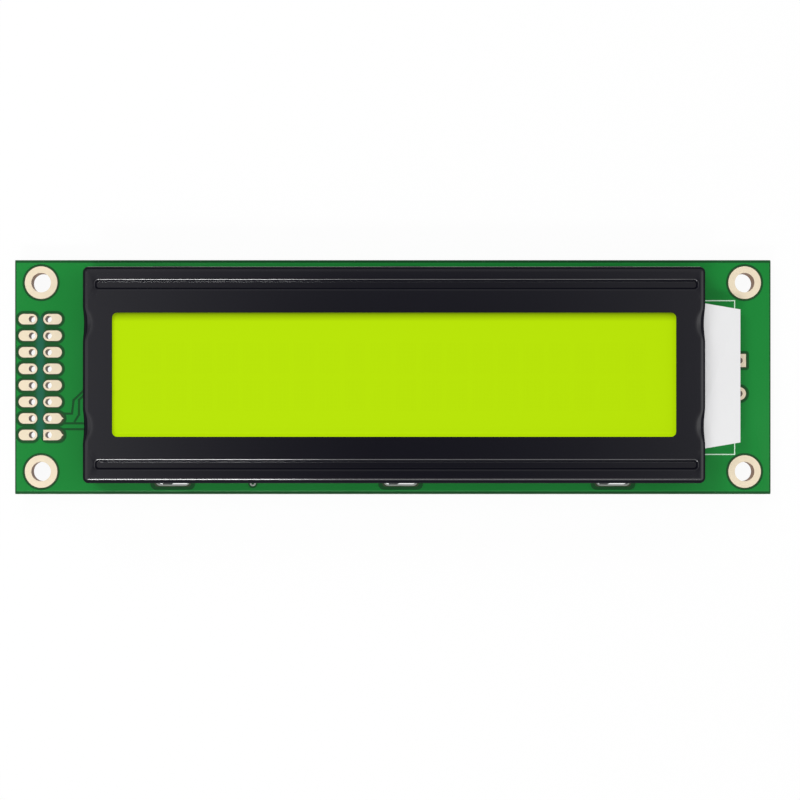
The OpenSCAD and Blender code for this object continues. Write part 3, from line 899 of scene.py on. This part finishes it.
resinLook = plainLook("glob-top resin", (0.010, 0.010, 0.011), (0.016, 0.016, 0.017), 0.3, 1.5,
                      0.01, IOR=1.55)
solderLook = plainLook("solder", (0.62, 0.62, 0.64), (0.70, 0.70, 0.72), 0.3, 0.5, Metallic=0.9)
wireLook = plainLook("tinned wire", (0.66, 0.66, 0.66), (0.72, 0.72, 0.72), 0.35, 0.3,
                     Metallic=0.9)
resistorLook = plainLook("resistor glaze", (0.012, 0.012, 0.014), (0.02, 0.02, 0.024), 0.25, 0.5)
capacitorLook = plainLook("capacitor ceramic", (0.36, 0.22, 0.11), (0.42, 0.27, 0.14), 0.45, 0.5)
for dome in ("controller_dome", "left_driver_dome", "right_driver_dome"):
    finishPiece(domeOver(dome), dome.replace("dome", "resin"), resinLook, [dome])
for kind, look in (("resistor", resistorLook), ("capacitor", capacitorLook)):
    node = "chip_" + kind + "s"
    finishPiece(chipParts(node), kind + "s", [look, solderLook], [node])
dress(wireLook, "lamp_leads")
dress(solderLook, "lead_solder")
print("back dressed")


# printed line and the small plated hole beside the bezel

def printedOutline():
    top = levels(1)[2]
    wide = board["printWidth"]
    (left, lower), (right, upper) = board["printCorners"]
    sheet, cutters = bmesh.new(), bmesh.new()
    raised(sheet, plate(sheet, (left, lower), (right, upper), top), board["printHeight"])
    low, high = cutterSpan(top, top + board["printHeight"])
    inside = plate(cutters, (board["printOpen"], lower + wide), (right - wide, upper - wide), low)
    raised(cutters, inside, high - low)
    return cutFrom(sheet, cutters)


def smallVia():
    top = cadCorners("circuit_board")[1].z
    bm = bmesh.new()
    turned(bm, board["via"], [(r, top + z) for r, z in board["viaSection"]], 32)
    return bm


printLook = plainLook("printed white", (0.62, 0.80, 0.66), (0.68, 0.84, 0.71), 0.6, 0.3)
finishPiece(printedOutline(), "printed_outline", printLook)
finishPiece(smallVia(), "small_via", tinLook)
print("print and via added")


# floor, light and camera

studio = {
    "camera": (-6, -11, 203.1),
    "lens": 59.05,
    "sensor": 36,
    "shift": (0.0578, 0.0609),
    "floorSize": 3,               # in metres
    "floorGlow": 0.94,            # share of the floor's own white, the rest keeps the shadow
    "hood": (0.05, -0.03, 1),     # where the dark patch over the object is centred
    "hoodStops": ((0.88, 0.8), (0.94, 0.45), (0.97, 0.27), (0.99, 0.11), (1.0, 0.03)),
    "dimStops": ((0.05, 1.0), (0.15, 0.7), (0.45, 0.35)),
    "sideStops": ((0.24, 0.7), (0.37, 1.3), (0.42, 1.2), (0.50, 0.8), (0.6, 1.0), (0.8, 1.1)),
    "horizonStops": ((0.06, 0.0), (0.12, 1.0)),
    "lamps": (                    # name, place, aim, size, watts, whether gloss shows it
        ("long upper light", (-40, 400, 290), (0, 0, 0), (360, 220), 0.85, False),
        ("long right light", (320, 20, 190), (0, 0, 0), (90, 320), 0.18, False),
        ("upper left light", (-165, 95, 300), (0, 0, 0), (100, 100), 0.32, False),
        ("low softbox", (-75, -215, 275), (-75, 0, 0), (90, 40), 0.36, True),
        ("low strip light", (5, -215, 275), (5, 0, 0), (250, 40), 0.1, True),
    ),
}


def floorLook():
    # plain white floor that keeps the shadow but shows as clean white
    look = Look("white floor", IOR=1.3, Roughness=0.8)
    look.wear(Base_Color=look.blend(look.noise(2), (0.80, 0.80, 0.80), (0.82, 0.82, 0.82)))
    seen = 0
    for ray in ("Is Camera Ray", "Is Glossy Ray", "Is Transmission Ray"):
        seen = look.node("LightPath", ray).highest(seen)
    white = look.node("Emission", "Emission")
    shader = Wire(look, look.shader.outputs["BSDF"])
    mixed = look.node("MixShader", "Shader",
                      sockets={0: seen * studio["floorGlow"], 1: shader, 2: white})
    look.feed(look.tree.nodes["Material Output"].inputs["Surface"], mixed)
    return look


def roomLight():
    # pale all round at the horizon, dim on one long side and under a dark hood overhead
    room = bpy.data.worlds.new("studio room")
    scene.world = room
    sky = NodeMaker(room)
    towards = sky.node("TexCoord", "Generated")
    x, y, z = [sky.node("SeparateXYZ", axis, sockets={0: towards}) for axis in "XYZ"]
    hood = sky.node("VectorMath", "Value", {"operation": "DOT_PRODUCT"},
                    {0: towards, 1: Vector(studio["hood"]).normalized()})
    light = sky.ramp(hood, studio["hoodStops"])
    light = sky.blend(1, light, sky.ramp(y, studio["dimStops"]), "MULTIPLY")
    light = sky.blend(1, light, sky.ramp(x * 0.5 + 0.5, studio["sideStops"]), "MULTIPLY")
    light = sky.blend(sky.ramp(z, studio["horizonStops"]), (1, 1, 1), light)
    sky.feed(sky.tree.nodes["Background"].inputs["Color"], light)


def addLamp(name, place, aim, size, watts, glossy):
    data = bpy.data.lights.new(name, "AREA")
    data.shape, data.size, data.size_y = "RECTANGLE", size[0] * mm, size[1] * mm
    data.energy = watts
    made = placed(name, data)
    made.location = Vector(place) * mm
    made.rotation_euler = (Vector(aim) - Vector(place)).to_track_quat("-Z", "Y").to_euler()
    made.visible_glossy = glossy


def addFloor():
    bm = bmesh.new()
    bmesh.ops.create_grid(bm, x_segments=1, y_segments=1, size=studio["floorSize"] / 2)
    # the part stands on its resin domes
    bmesh.ops.translate(bm, vec=(0, 0, cadBox[0][2]), verts=bm.verts)
    floor = placed("floor", meshFrom(bm, "floor"))
    floor.data.materials.append(floorLook().material)


def addCamera():
    data = bpy.data.cameras.new("camera")
    data.lens, data.sensor_width = studio["lens"], studio["sensor"]
    data.shift_x, data.shift_y = studio["shift"]
    scene.camera = placed("camera", data)
    scene.camera.location = Vector(studio["camera"]) * mm


addFloor()
roomLight()
for settings in studio["lamps"]:
    addLamp(*settings)
addCamera()
scene.view_settings.view_transform = "Standard"
print("studio set")
